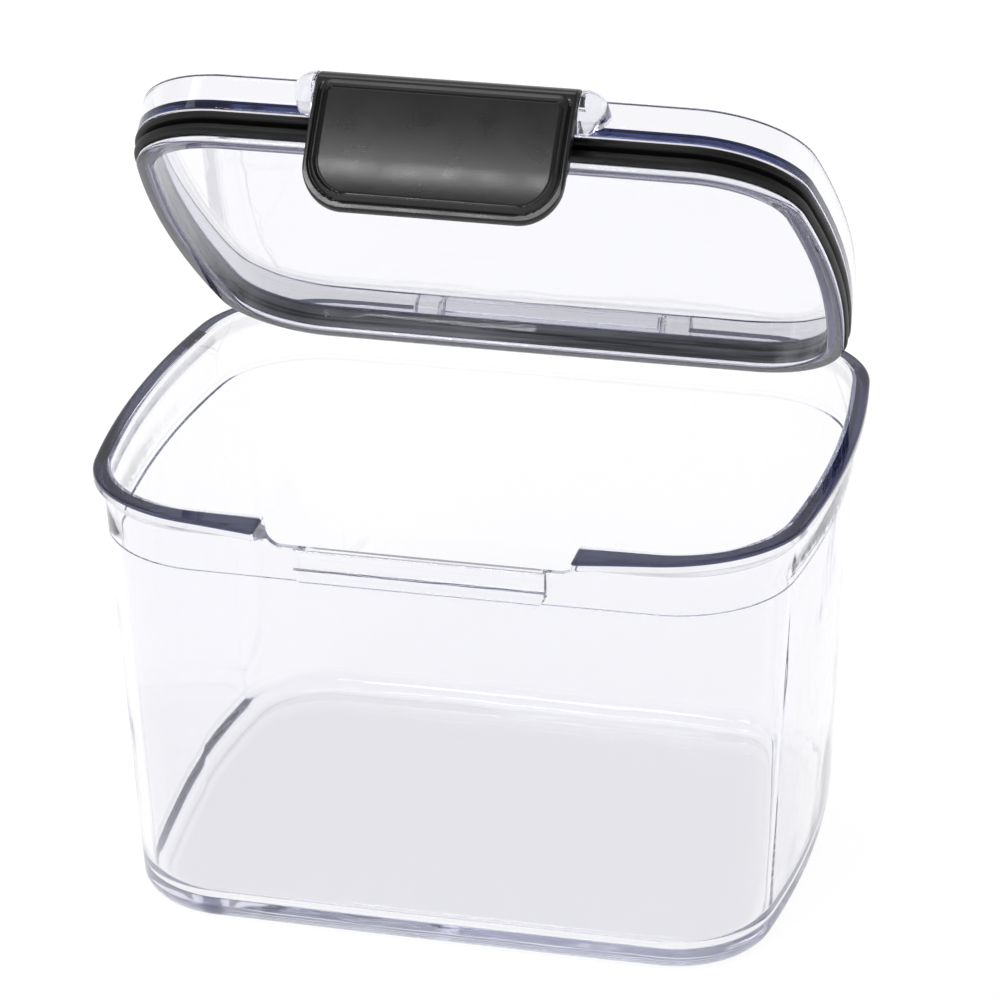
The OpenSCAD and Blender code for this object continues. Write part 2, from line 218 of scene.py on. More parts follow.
def turn_x(points, angle, y, z):
    """Points turned about a line along X through y, z."""
    points = np.array(points, float)
    dy, dz = points[..., 1] - y, points[..., 2] - z
    c, s = math.cos(angle), math.sin(angle)
    points[..., 1] = y + dy * c - dz * s
    points[..., 2] = z + dy * s + dz * c
    return points


def on_lid(points):
    """Points of the shut lid, moved to where the open lid stands."""
    return turn_x(points, -lid_open, hinge_y, hinge_z)


def on_latch(points):
    """Points round the latch's pivot, moved to where the latch hangs."""
    moved = turn_x(points, -latch_swing, 0, 0) + np.array([0, pivot_y, pivot_z])
    return on_lid(moved)


def lathe_x(profile, y, z, n=64):
    """A turned piece along X: rings at each [x, radius]."""
    a = np.linspace(0, 2 * np.pi, n, endpoint=False)
    rows = [np.stack([np.full(n, x), y + r * np.cos(a), z + r * np.sin(a)], -1) for x, r in profile]
    return loft(rows)


def apply_modifiers(target):
    """Gives an object the mesh that its modifiers make."""
    bpy.context.view_layer.update()
    depsgraph = bpy.context.evaluated_depsgraph_get()
    mesh = bpy.data.meshes.new_from_object(target.evaluated_get(depsgraph))
    target.modifiers.clear()
    old = target.data
    target.data = mesh
    bpy.data.meshes.remove(old)


def boolean(target, cutter, operation):
    """Joins the cutter to the target, or cuts it out of it, and removes the cutter."""
    mod = target.modifiers.new("cut", "BOOLEAN")
    mod.operation = operation
    mod.solver = "EXACT"
    mod.object = cutter
    apply_modifiers(target)
    bpy.data.objects.remove(cutter)


def keep_flats(made):
    """Shades the flat faces flat, so that only the roundings beside them bend light."""
    mod = made.modifiers.new("flats", "WEIGHTED_NORMAL")
    mod.keep_sharp = True
    apply_modifiers(made)


def finish_mesh(made, name):
    """Names a piece that was joined from several, and smooths it but for its sharp edges."""
    made.name = name
    made.data.name = name
    made.data.shade_smooth()
    made.data.set_sharp_from_angle(angle=math.radians(sharp_angle))


# Materials
def material(name):
    made = bpy.data.materials.new(name)
    made.use_nodes = True
    return made, made.node_tree, made.node_tree.nodes["Principled BSDF"]


def noise(nt, scale, detail, coordinate):
    node = nt.nodes.new("ShaderNodeTexNoise")
    node.inputs["Scale"].default_value = scale
    node.inputs["Detail"].default_value = detail
    nt.links.new(coordinate, node.inputs["Vector"])
    return node.outputs["Fac"]


def mapped(nt, value, low, high):
    """A noise value spread over a range from low to high."""
    noise_low, noise_high = 0.3, 0.7
    node = nt.nodes.new("ShaderNodeMapRange")
    node.inputs["From Min"].default_value = noise_low
    node.inputs["From Max"].default_value = noise_high
    node.inputs["To Min"].default_value = low
    node.inputs["To Max"].default_value = high
    nt.links.new(value, node.inputs["Value"])
    return node.outputs["Result"]


def ramp(nt, low, high):
    """A colour ramp between two pairs of position and colour."""
    node = nt.nodes.new("ShaderNodeValToRGB")
    for element, (position, colour) in zip(node.color_ramp.elements, (low, high)):
        element.position = position
        element.color = (*colour, 1)
    return node


def bumped(nt, height, strength, distance):
    node = nt.nodes.new("ShaderNodeBump")
    node.inputs["Strength"].default_value = strength
    node.inputs["Distance"].default_value = distance
    nt.links.new(height, node.inputs["Height"])
    return node.outputs["Normal"]


def clear_plastic(name, face, depth):
    """Clear moulded plastic: a faint blue tint that deepens with thickness, and slight waviness."""
    index, haze = 1.53, 0.03
    inner_blue = (0.70, 0.71, 0.84)
    wave_strength, wave_height = 0.25, 0.0012
    made, nt, p = material(name)
    p.inputs["Base Color"].default_value = (*face, 1)
    p.inputs["Transmission Weight"].default_value = 1
    p.inputs["IOR"].default_value = index
    place = nt.nodes.new("ShaderNodeTexCoord").outputs["Object"]
    nt.links.new(mapped(nt, noise(nt, 30, 3, place), 0.0, haze), p.inputs["Roughness"])
    waves = bumped(nt, noise(nt, 22, 2, place), wave_strength, wave_height)
    nt.links.new(waves, p.inputs["Normal"])
    volume = nt.nodes.new("ShaderNodeVolumeAbsorption")
    volume.inputs["Color"].default_value = (*inner_blue, 1)
    volume.inputs["Density"].default_value = depth
    nt.links.new(volume.outputs["Volume"], nt.nodes["Material Output"].inputs["Volume"])
    return made


def black_finish(name, colour, rough, grain_scale, grain, shine):
    """Black plastic or silicone: a fine grain, and gloss that drifts a little."""
    drift, grain_height = 0.04, 0.0001
    made, nt, p = material(name)
    p.inputs["Specular IOR Level"].default_value = shine
    place = nt.nodes.new("ShaderNodeTexCoord").outputs["Object"]
    tone = ramp(nt, (0.35, [c * 0.8 for c in colour]), (0.65, [c * 1.2 for c in colour]))
    nt.links.new(noise(nt, grain_scale, 3, place), tone.inputs["Fac"])
    nt.links.new(tone.outputs["Color"], p.inputs["Base Color"])
    gloss = mapped(nt, noise(nt, 120, 4, place), rough - drift, rough + drift)
    nt.links.new(gloss, p.inputs["Roughness"])
    nt.links.new(bumped(nt, noise(nt, grain_scale, 2, place), grain, grain_height), p.inputs["Normal"])
    return made


def painted_reflection_back():
    """The seal's back against the retainer: painted reflection, grey and black streaks that run round the
    ring, standing in for the bright and dark lines seen on it through the clear retainer.
    """
    streak_size = (0.07, 0.07, 0.0016)
    streak_black, painted_reflection_silver = (0.015, 0.017, 0.020), (0.60, 0.62, 0.64)
    made, nt, p = material("seal_back_painted_reflection")
    turn = nt.nodes.new("ShaderNodeMapping")
    turn.vector_type = "TEXTURE"
    turn.inputs["Rotation"].default_value = (-lid_open, 0, 0)
    turn.inputs["Scale"].default_value = streak_size
    nt.links.new(nt.nodes.new("ShaderNodeTexCoord").outputs["Object"], turn.inputs["Vector"])
    tone = ramp(nt, (0.36, streak_black), (0.64, painted_reflection_silver))
    nt.links.new(noise(nt, 1, 4, turn.outputs["Vector"]), tone.inputs["Fac"])
    nt.links.new(tone.outputs["Color"], p.inputs["Base Color"])
    p.inputs["Roughness"].default_value = 0.3
    return made


# Tints of the clear pieces, and painted shade: navy, lavender and grey tints on the rim and on edges of the
# lid and retainer, standing in for the dark look of clear plastic seen edge-on
clear_tint, rim_painted_shade = (0.945, 0.945, 0.965), (0.010, 0.011, 0.030)
lid_edge_painted_shade, lid_band_painted_shade, retainer_lip_painted_shade = (0.55, 0.54, 0.62), (0.17, 0.22, 0.36), (0.42, 0.41, 0.48)
rubber_black, plastic_black = (0.006, 0.006, 0.0065), (0.004, 0.0039, 0.0039)
tub_depth, lid_depth = 6, 30
tub_look = clear_plastic("clear_tub", clear_tint, tub_depth)
rim_painted_shade_look = clear_plastic("clear_tub_rim_painted_shade", rim_painted_shade, tub_depth)
lid_look = clear_plastic("clear_lid", clear_tint, lid_depth)
lid_edge_painted_shade_look = clear_plastic("clear_lid_edge_painted_shade", lid_edge_painted_shade, lid_depth)
retainer_look = clear_plastic("clear_retainer", clear_tint, lid_depth)
lid_band_painted_shade_look = clear_plastic("clear_lid_band_painted_shade", lid_band_painted_shade, lid_depth)
retainer_lip_painted_shade_look = clear_plastic("clear_retainer_lip_painted_shade", retainer_lip_painted_shade, lid_depth)
seal_look = black_finish("seal_rubber", rubber_black, rough=0.48, grain_scale=1500, grain=0.05, shine=0.25)
seal_back_reflection_look = painted_reflection_back()
latch_look = black_finish("latch_plastic", plastic_black, rough=0.29, grain_scale=3000, grain=0.15,
                          shine=0.5)

# Container
edge_r = 0.6
lip_z = rim_z - lip_h


def notch_half(x_end, floor_z, arc_r, fine):
    """One half of a notch, from outside it to its middle, as columns of
    [base x, edge x, edge z, inward x, inward z]."""
    turn, approach, step_in = 0.8, 2.2, 0.05
    top_gap, low_gap = 0.3, 0.15
    rows = []
    for x in np.linspace(front_x, x_end + approach, 10):
        rows.append([x, x, rim_z, 0, -1])
    fixed = len(rows)
    for f in np.radians([0, 18, 36, 54, 72, 90]):
        rows.append([0, x_end + turn * (1 - math.sin(f)), rim_z - turn * (1 - math.cos(f)),
                     math.sin(f), -math.cos(f)])
    down = np.linspace(rim_z - turn - top_gap, floor_z + arc_r + low_gap, 6)
    for i, z in enumerate(down):
        rows.append([0, x_end - step_in * (i + 1), z, 1, 0])
    arc_x = x_end - step_in * (len(down) + 1)
    for f in np.radians(np.linspace(0, -90, 15)):
        rows.append([0, arc_x - arc_r * (1 - math.cos(f)), floor_z + arc_r * (1 + math.sin(f)),
                     math.cos(f), math.sin(f)])
    moving = len(rows) - fixed
    start, end = rows[fixed - 1][0], rows[-1][1]
    for i in range(moving):
        rows[fixed + i][0] = start + (end - start) * (i + 1) / moving
    for x in fine:
        rows.append([x, x, floor_z, 0, -1])
    return np.array(rows)


mirror_x = np.array([-1, -1, 1, -1, 1])


def both_halves(half):
    """The whole notch from left to right, its middle column counted once."""
    left = half * mirror_x
    return np.vstack([left, half[-2::-1]])


# Columns across the notches, close together at the front where the catch pad's corners are
rear_notch_x, rear_notch_z, rear_notch_r = hinge_ear_x + 0.5, 114.0, 1.2
front_fine = np.concatenate([[35.0, 34.4, 33.8, 33.3], np.arange(32.9, 26.6, -0.35),
                             np.linspace(26, 0, 17)])
rear_fine = np.linspace(28.5, 0, 16)
front_cols = both_halves(notch_half(notch_mid + notch_r, pivot_z - notch_r, notch_r, front_fine))
rear_cols = both_halves(notch_half(rear_notch_x, rear_notch_z, rear_notch_r, rear_fine)) * mirror_x


def plain_cols(plan):
    """Columns that end at the plain rim."""
    return np.tile([0.0, 0.0, rim_z, 0.0, -1.0], (len(plan), 1))


part = side_and_corner(14, 40)
sections = [
    (part, plain_cols(part), 0),
    (None, rear_cols, 1),
    (turned(part[::-1], -1, 1), plain_cols(part), 0),
    (turned(part[1:], -1, -1), plain_cols(part[1:]), 0),
    (None, front_cols, -1),
    (turned(part[:0:-1], 1, -1), plain_cols(part[1:]), 0),
]


def tub_ring(x_of, z_of, out_of):
    """One ring of the tub. x_of, z_of and out_of give each column's x, height and reach beyond the plan."""
    ring = []
    for plan, cols, sign in sections:
        z = z_of(cols) + np.zeros(len(cols))
        if sign:
            plan = on_front(x_of(cols), sign)
        out = out_of(plan, cols, z, sign)
        y_more = np.zeros(len(cols))
        if isinstance(out, tuple):
            out, y_more = out
        x = plan[:, 0] + out * plan[:, 2]
        y = plan[:, 1] + out * plan[:, 3] + y_more
        ring.append(np.stack([x, y, z], -1))
    return np.vstack(ring)


def base_x(cols):
    return cols[:, 0]


def wall_out(plan, cols, z, sign):
    """Reach of the outer wall, with the raised catch pad on the front."""
    edge_from, edge_to, step_soft = -0.3, 0.1, 0.2
    out = -lean(z)
    if sign < 0:
        qx = np.abs(plan[:, 0]) - (pad_half - pad_r)
        qz = catch_z + pad_r - z
        away = np.hypot(np.maximum(qx, 0), np.maximum(qz, 0)) + np.minimum(np.maximum(qx, qz), 0) - pad_r
        raised = 1 - smooth(edge_from, edge_to, away)
        step = pad_step * smooth(pad_step_z - step_soft, pad_step_z + step_soft, z)
        out = out + raised * (-pad_y + plan[:, 1] - step - out)
    return out


def bore_inset(z):
    """Inset of the bore, which closes in a little towards the ledge."""
    return bore_wall + (rim_z - z) * math.tan(bore_draft) + bore_close * smooth(skirt_z, ledge_z, z)


def bore_out(plan, cols, z, sign):
    return -bore_inset(z)


def upper(f, low, out_of):
    """A ring a share f of the way from the height low to just under the rim or notch edge."""
    def x_of(cols):
        return cols[:, 0] + (cols[:, 1] + cols[:, 3] * edge_r - cols[:, 0]) * f * f * (3 - 2 * f)

    def z_of(cols):
        return low + (cols[:, 2] + cols[:, 4] * edge_r - low) * f
    return tub_ring(x_of, z_of, out_of)


def outer_out(plan, cols, z, sign):
    """Reach of the outside at a height: the wall, then the slope under the lip, then the lip's face."""
    bend = 0.7
    wall = wall_out(plan, cols, z, sign)
    share = soft_ramp(z, lip_z - lip_under, lip_z, bend)
    more = np.where(plan[:, 3] < 0, -swell(plan[:, 0]), 0) * share
    return wall + (lip_out - wall) * share, more


def rim_edge(depth, across_share, side_inset):
    """A ring on the rounded rim at a depth below its top, a share of the way from outside to inside."""
    def x_of(cols):
        return cols[:, 1] + cols[:, 3] * depth

    def z_of(cols):
        return cols[:, 2] + cols[:, 4] * depth

    def out_of(plan, cols, z, sign):
        outer, more = outer_out(plan, cols, cols[:, 2] + cols[:, 4] * edge_r, sign)
        inner = bore_out(plan, cols, z, sign)
        outer_edge = outer - side_inset
        inner_edge = inner + side_inset
        return outer_edge + (inner_edge - outer_edge) * across_share, more * (1 - across_share)
    return tub_ring(x_of, z_of, out_of)


def level(z, out):
    """A ring at one height with one reach all round."""
    return tub_ring(base_x, lambda cols: np.full(len(cols), z), lambda plan, cols, heights, sign: out)


def outer_heights(low, top):
    """Heights of the outside's rings from low to top, close together where its section bends."""
    pad_foot = catch_z + 0.15 * np.arange(-1, 5)
    pad_shelf = pad_step_z + 0.1 * np.arange(-3, 4)
    slope_z = lip_z - lip_under
    slope_start = np.linspace(slope_z - 0.8, slope_z + 0.6, 7)
    slope_end = np.linspace(lip_z - 0.5, lip_z + 0.5, 7)
    return np.concatenate([[low, 100, 101.5, 102.2], pad_foot, np.arange(103.5, 107.4, 0.5), pad_shelf,
                           np.arange(108.4, 113.4, 0.5), slope_start, [115.5, 116.0, 116.5],
                           slope_end, [118.5, 119.0, top]])


def tub_rings():
    """Rings of the tub from under its base, up the outside, over the rim and down to its floor, and the
    rows that its rim takes."""
    base_rest, floor_rest = 16, 3
    ledge_half, ledge_gap = 0.3, 0.5
    rings = []
    foot = lean(base_r)
    inner_foot = lean(floor_t + floor_r) + body_wall
    rings.append(level(0, -(foot + base_r + base_rest)))
    for a in np.radians(np.linspace(0, 90, 11)):
        rings.append(level(base_r * (1 - math.cos(a)), -(foot + base_r * (1 - math.sin(a)))))
    for z in np.linspace(14, 90, 8):
        rings.append(level(z, -lean(z)))
    low, top = 98.0, rim_z - edge_r
    for z in outer_heights(low, top):
        rings.append(upper((z - low) / (top - low), low, outer_out))
    rim_start = len(rings) - 2
    for a in np.radians(np.linspace(0, 90, 6))[1:]:
        rings.append(rim_edge(edge_r * (1 - math.sin(a)), 0, edge_r * (1 - math.cos(a))))
    for share in (0.2, 0.5, 0.8):
        rings.append(rim_edge(0, share, edge_r))
    rim_end = len(rings) - 1
    for a in np.radians(np.linspace(90, 0, 6)):
        rings.append(rim_edge(edge_r * (1 - math.sin(a)), 1, edge_r * (1 - math.cos(a))))
    inner_low = ledge_z + ledge_gap
    for f in (0.97, 0.9, 0.8, 0.65, 0.5, 0.35, 0.2, 0.1, 0.0):
        rings.append(upper(f, inner_low, bore_out))
    for z in np.linspace(ledge_z + ledge_half, ledge_z - ledge_half, 9):
        bore_in = float(bore_inset(z))
        share = float(smooth(ledge_z + ledge_half, ledge_z - ledge_half, z))
        rings.append(level(z, -(bore_in + (lean(z) + body_wall - bore_in) * share)))
    for z in np.linspace(98, 14, 9):
        rings.append(level(z, -(lean(z) + body_wall)))
    for a in np.radians(np.linspace(0, 90, 11)):
        rise, inset = floor_r * (1 - math.sin(a)), floor_r * (1 - math.cos(a))
        rings.append(level(floor_t + rise, -(inner_foot + inset)))
    rings.append(level(floor_t, -(inner_foot + floor_r + floor_rest)))
    return rings, (rim_start, rim_end)


# Painted shade: the faces on top of the rim, down to this depth under it, get a dark navy tint for the dark
# look of the rim seen edge-on
rim_painted_shade_depth = 0.9
rings, rim_rows = tub_rings()
tub = new_object("tub", *loft(rings))
tub.data.materials.append(tub_look)
tub.data.materials.append(rim_painted_shade_look)
for face in tub.data.polygons:
    row = face.index // len(rings[0])
    if rim_rows[0] <= row < rim_rows[1] and face.center.z > (rim_z - rim_painted_shade_depth) * MM:
        face.material_index = 1


def round_ear(side):
    """A round ear on the tub's rear, turned about the hinge line."""
    near_round, near_mid, far_round = 0.4, 0.12, 0.8
    start, end, r = hinge_ear_x, hinge_ear_x + hinge_ear_w, hinge_ear_r - 0.02
    profile = [[start, r - near_round], [start + near_mid, r - near_mid], [start + near_round, r]]
    for a in np.radians([0, 22, 45, 68, 90]):
        profile.append([end - far_round * (1 - math.sin(a)), r - far_round * (1 - math.cos(a))])
    profile = np.array(profile) * np.array([side, 1])
    return lathe_x(profile if side > 0 else profile[::-1], hinge_y, hinge_z, 48)


def gusset(side):
    """The web under a hinge ear that carries it on the wall."""
    root_y, top, foot = half_d - bore_wall + 0.5, hinge_z - 0.7, hinge_z - 7
    shoulder_y, nose_y, foot_y = hinge_y + 1.5, hinge_y + hinge_ear_r - 0.6, half_d - 0.6
    nose_z, bend = hinge_z - 2.2, 0.8
    side_in, side_on = 0.25, 0.4
    outline = [[root_y, top], [shoulder_y, top], [nose_y, nose_z], [foot_y, foot], [root_y, foot]]
    outline = fillet(outline, [0, 0, bend, bend, 0], True)
    xs = np.array([side_in, side_on, hinge_ear_w - side_on, hinge_ear_w - side_in]) + hinge_ear_x
    if side < 0:
        xs = xs[::-1]
    rows = [np.column_stack([np.full(len(outline), side * x), outline]) for x in xs]
    return loft([r[::-1] for r in rows])


def pin_bar(r, x0, x1, y, z):
    """A plain round bar along X that cuts a pivot's bore."""
    return lathe_x([[x0, r], [x1, r]], y, z)


for side in (-1, 1):
    boolean(tub, new_object("ear", *round_ear(side)), "UNION")
    boolean(tub, new_object("web", *gusset(side)), "UNION")
    ends = sorted([side * (hinge_ear_x - 0.5), side * (hinge_ear_x + trunnion_l)])
    boolean(tub, new_object("bore", *pin_bar(trunnion_r + running, *ends, hinge_y, hinge_z)), "DIFFERENCE")
finish_mesh(tub, "tub_clear")
keep_flats(tub)

# Lid, drawn shut and then turned to where it stands
plan = whole_plan()


def rings_of(section):
    """Rings of the plan for each section point of inset across, inset along the depth, and height."""
    rings = []
    for inset_x, inset_y, z in section:
        x = plan[:, 0] - inset_x * plan[:, 2]
        y = plan[:, 1] - inset_y * plan[:, 3]
        rings.append(np.stack([x, y, np.full(len(plan), z)], -1))
    return rings


def plain_section(points, radii, closed, more=0.0):
    """A rounded section, set in by the same amount all round, and by more along the depth."""
    flat = fillet(points, radii, closed)
    return [(a, a + more, z) for a, z in flat]


inner = skirt_in + skirt_t
plate_in, skirt_edge, tray_r = inner + 9, 0.5, 1.2
lid_section = plain_section(
    [[plate_in, skirt_z + air], [skirt_in, skirt_z + air], [skirt_in, plate_z + 0.1], [skirt_in, lid_top],
     [inner, lid_top], [inner, plate_z], [plate_in, plate_z]],
    [0, skirt_edge, 0, skirt_edge, skirt_edge, tray_r, 0], False)
lid = new_object("lid_shell", *loft(on_lid(rings_of(lid_section))))
# Painted shade: the skirt's top rounding and top face get a lavender tint for the dark look of the skirt's
# edge seen through the plastic
skirt_top_painted_shade_rows, plate_edge_painted_shade_rows = (10, 17), (5, 7)
# Painted shade: the skirt's outer face from its foot up to the plate gets a navy tint for the dark stripe
# where the seal and plate are seen through it
paint(lid, (lid_look, lid_edge_painted_shade_look, lid_band_painted_shade_look), len(plan), skirt_top_painted_shade_rows, plate_edge_painted_shade_rows)


def latch_ear(side):
    """One flat-topped domed ear: round in plan, round below, tapering to its outer side."""
    top, dome_y = lid_top - 0.06, pivot_y - ear_r + ear_w
    wide_z, tail, step_z, tail_back = 116.0, 7.3, 112.9, -73.7
    squareness, most_depth, tail_gap, tail_fade = 2.6, 4.0, 0.5, 2.5
    clear_r, clear_x = notch_r - 0.3, notch_mid - 0.35
    rows = []
    for a in np.radians(np.linspace(0, 86, 26)):
        t = math.sin(a) * ear_w
        x = ear_x + t
        front = dome_y - math.sqrt(max(ear_w ** 2 - t ** 2, 0))
        low = wide_z - tail * math.cos(a)
        clear_low = pivot_z - math.sqrt(max(clear_r ** 2 - max(x - clear_x, 0) ** 2, 0))
        ahead = min(max((tail_back - tail_gap - front) / tail_fade, 0), 1)
        low += max(clear_low - low, 0) * (1 - ahead)
        high = wide_z + (top - wide_z) * (1 - math.sin(a) ** squareness) ** (1 / squareness)
        half = (high - low) / 2
        depth = min(half, most_depth)
        down = np.radians(np.linspace(90, 0, 16))
        back = down[::-1]
        over = np.column_stack([front + depth * (1 - np.cos(down)), high - half * (1 - np.sin(down))])
        foot = max(tail_back, front + tail_gap)
        under = np.column_stack([foot + (front - foot) * np.cos(back), low + half * (1 - np.sin(back))])
        ledge = max(low + air, step_z, clear_low)
        section = np.vstack([[ear_back, high], over, under[1:], [foot + 0.02, ledge], [ear_back, ledge]])
        rows.append(np.column_stack([np.full(len(section), side * x), section]))
    bevel_x, bevel_share = 0.25, 0.05
    first = rows[0].copy()
    middle = np.array([0, -71.5, pivot_z])
    inset = first + (middle - first) * np.array([0, bevel_share, bevel_share])
    rows[0][:, 0] += side * bevel_x
    rows.insert(0, inset)
    if side < 0:
        rows = rows[::-1]
    return loft(on_lid(rows))


def hinge_barrel():
    """The lid's hinge barrel with its trunnions."""
    edge, edge_mid, pin_edge = 0.4, 0.12, 0.3
    end, pin = barrel_half, barrel_half + trunnion_l
    half = np.array([[0, barrel_r], [end - edge, barrel_r], [end - edge_mid, barrel_r - edge_mid],
                     [end, barrel_r - edge], [end + 0.01, trunnion_r], [pin - pin_edge, trunnion_r],
                     [pin, trunnion_r - pin_edge]])
    profile = np.vstack([half[:0:-1] * np.array([-1, 1]), half])
    verts, faces = lathe_x(profile, hinge_y, hinge_z)
    return on_lid(verts), faces


def hinge_web():
    """The strip that joins the barrel to the skirt."""
    root, low, high = half_d - skirt_in - 1.2, hinge_z - 1.8, hinge_z + 1.7
    outline = np.array([[root, low], [hinge_y, low], [hinge_y, high], [root, high]])
    xs = np.array([-1, 1]) * (barrel_half - 0.3)
    rows = [np.column_stack([np.full(len(outline), x), outline]) for x in xs]
    return loft(on_lid(rows))


boolean(lid, new_object("barrel", *hinge_barrel()), "UNION")
boolean(lid, new_object("strip", *hinge_web()), "UNION")
for side in (-1, 1):
    boolean(lid, new_object("ear", *latch_ear(side)), "UNION")
    ends = sorted([side * (ear_x - 0.5), side * (ear_x + trunnion_l)])
    verts, faces = pin_bar(trunnion_r + running, *ends, pivot_y, pivot_z)
    boolean(lid, new_object("bore", on_lid(verts), faces), "DIFFERENCE")
finish_mesh(lid, "lid_clear")
keep_flats(lid)

# Retainer ring and seal
lip_in, wall_in = seal_in - retainer_lip, seal_in + retainer_t
retainer_section = plain_section(
    [[wall_in, retainer_z], [lip_in, retainer_z], [lip_in, seal_z - air],
     [seal_in, seal_z - air], [seal_in, skirt_z - air], [wall_in, skirt_z - air]],
    [0.8, 0.8, 0.25, 0.25, 0.2, 0.2], True, swing_inset)
retainer = new_object("retainer_clear", *loft(on_lid(rings_of(retainer_section)), False))
# Painted shade: the retainer's lower face and lip corner get a grey-lavender tint for the dark look of that
# plastic seen edge-on
retainer_lip_painted_shade_rows = (2, 9)
paint(retainer, (retainer_look, retainer_lip_painted_shade_look), len(plan), retainer_lip_painted_shade_rows)

# The seal's two lobes with a groove between them
upper_in, lower_in, groove = 3.3, 3.65, 1.6
lobe_slope, lobe_rise, groove_mouth, groove_floor = 0.9, 0.7, 0.75, 0.25
back_from, back_to = 4.6, 6.6
mid_z = (skirt_z + seal_z) / 2
half_seal = [0.2, 0.7, 0.9, 0.6, 0.25]
seal_points = [[seal_in - air, seal_z + air], [lower_in + lobe_slope, seal_z + air],
               [lower_in, seal_z + lobe_rise], [lower_in, mid_z - groove_mouth],
               [lower_in + groove, mid_z - groove_floor], [upper_in + groove + 0.2, mid_z + groove_floor],
               [upper_in, mid_z + groove_mouth], [upper_in, skirt_z - lobe_rise],
               [upper_in + lobe_slope, skirt_z - air], [seal_in - air, skirt_z - air]]
seal_flat = fillet(seal_points, half_seal + half_seal[::-1], True)
seal_section = [(a, a + swing_inset * float(smooth(back_from, back_to, a)), z) for a, z in seal_flat]
seal = new_object("seal_black", *loft(on_lid(rings_of(seal_section)), False), 60)
# Painted reflection: the seal's back face gets the grey and black streaks
paint(seal, (seal_look, seal_back_reflection_look), len(plan), (len(seal_section) - 1, len(seal_section)))

# Latch: a framed grip panel on a tapering flap, with a hook behind
flap_in, flap_out = 0.3, -4.8
tip_in, tip_out = 3.24, 0.94
tip_round = 0.76
hook_top, hook_h, hook_in = -15.0, 2.6, 1.5
split_z = -15.0


def latch_low(x):
    """Height of the latch's lower edge, with its two round corners."""
    over = np.clip(np.abs(x) - (latch_half - latch_corner_r), 0, latch_corner_r)
    return -latch_l + latch_corner_r - np.sqrt(latch_corner_r ** 2 - over ** 2)


def latch_front(x, z):
    """Front face of the latch: a crowned flap, a frame of ridges and a pillowed panel."""
    crown, shoulder = 0.9, 1.6
    t = np.clip(-z / latch_l, 0, 1)
    y = flap_out + (tip_out - flap_out) * t - crown * 4 * t * (1 - t)
    rise = np.clip(z / latch_barrel_r, 0, 1)
    y = np.where(z > 0, flap_out * (1 - rise ** shoulder) ** (1 / shoulder), y)
    panel_top, panel_low, panel_half = -1.7, -latch_l + 3.7, latch_half - 3.0
    upper_r, lower_r = 1.6, latch_corner_r - 2.4
    mid, half = (panel_top + panel_low) / 2, (panel_top - panel_low) / 2
    r = np.where(z > mid, upper_r, lower_r)
    qx = np.abs(x) - panel_half + r
    qz = np.abs(z - mid) - half + r
    away = np.hypot(np.maximum(qx, 0), np.maximum(qz, 0)) + np.minimum(np.maximum(qx, qz), 0) - r
    ridge_h, ridge_at, ridge_half = 0.62, 0.5, 0.62
    top_ridge_h, top_ridge = 0.45, [-0.35, 0.1, 1.3]
    groove_h, groove_at, groove_half = 0.5, 1.55, 0.55
    moat_h, moat_at, moat_half = 0.28, -0.3, 0.5
    panel_sink, pillow_h, pillow_z = 0.12, 1.0, 9.0
    lower_frame = 1 - smooth(-3.0, -0.8, z)
    at_top = smooth(-4.5, -2.5, z)
    h = ridge_h * (1 - at_top) * bump((away - ridge_at) / ridge_half)
    h = h + top_ridge_h * at_top * np.interp(away, top_ridge, [0, 1, 0])
    h = h - groove_h * bump((away - groove_at) / groove_half) * lower_frame
    h = h - moat_h * bump((away - moat_at) / moat_half)
    inside = smooth(0.1, -0.7, away)
    from_low = np.clip((z - panel_low) / pillow_z, 0, 1)
    h = h - inside * (panel_sink + pillow_h * (1 - from_low) ** 2)
    return y - h


def latch_back(z):
    """Back of the latch below its barrel, with the hook."""
    hook_edge = 0.25
    heights = [-latch_l, hook_top - 2 * hook_h, hook_top - hook_h, hook_top - hook_edge, hook_top, 0]
    return np.interp(z, heights, [tip_in, flap_in, hook_in, hook_in, flap_in, flap_in])


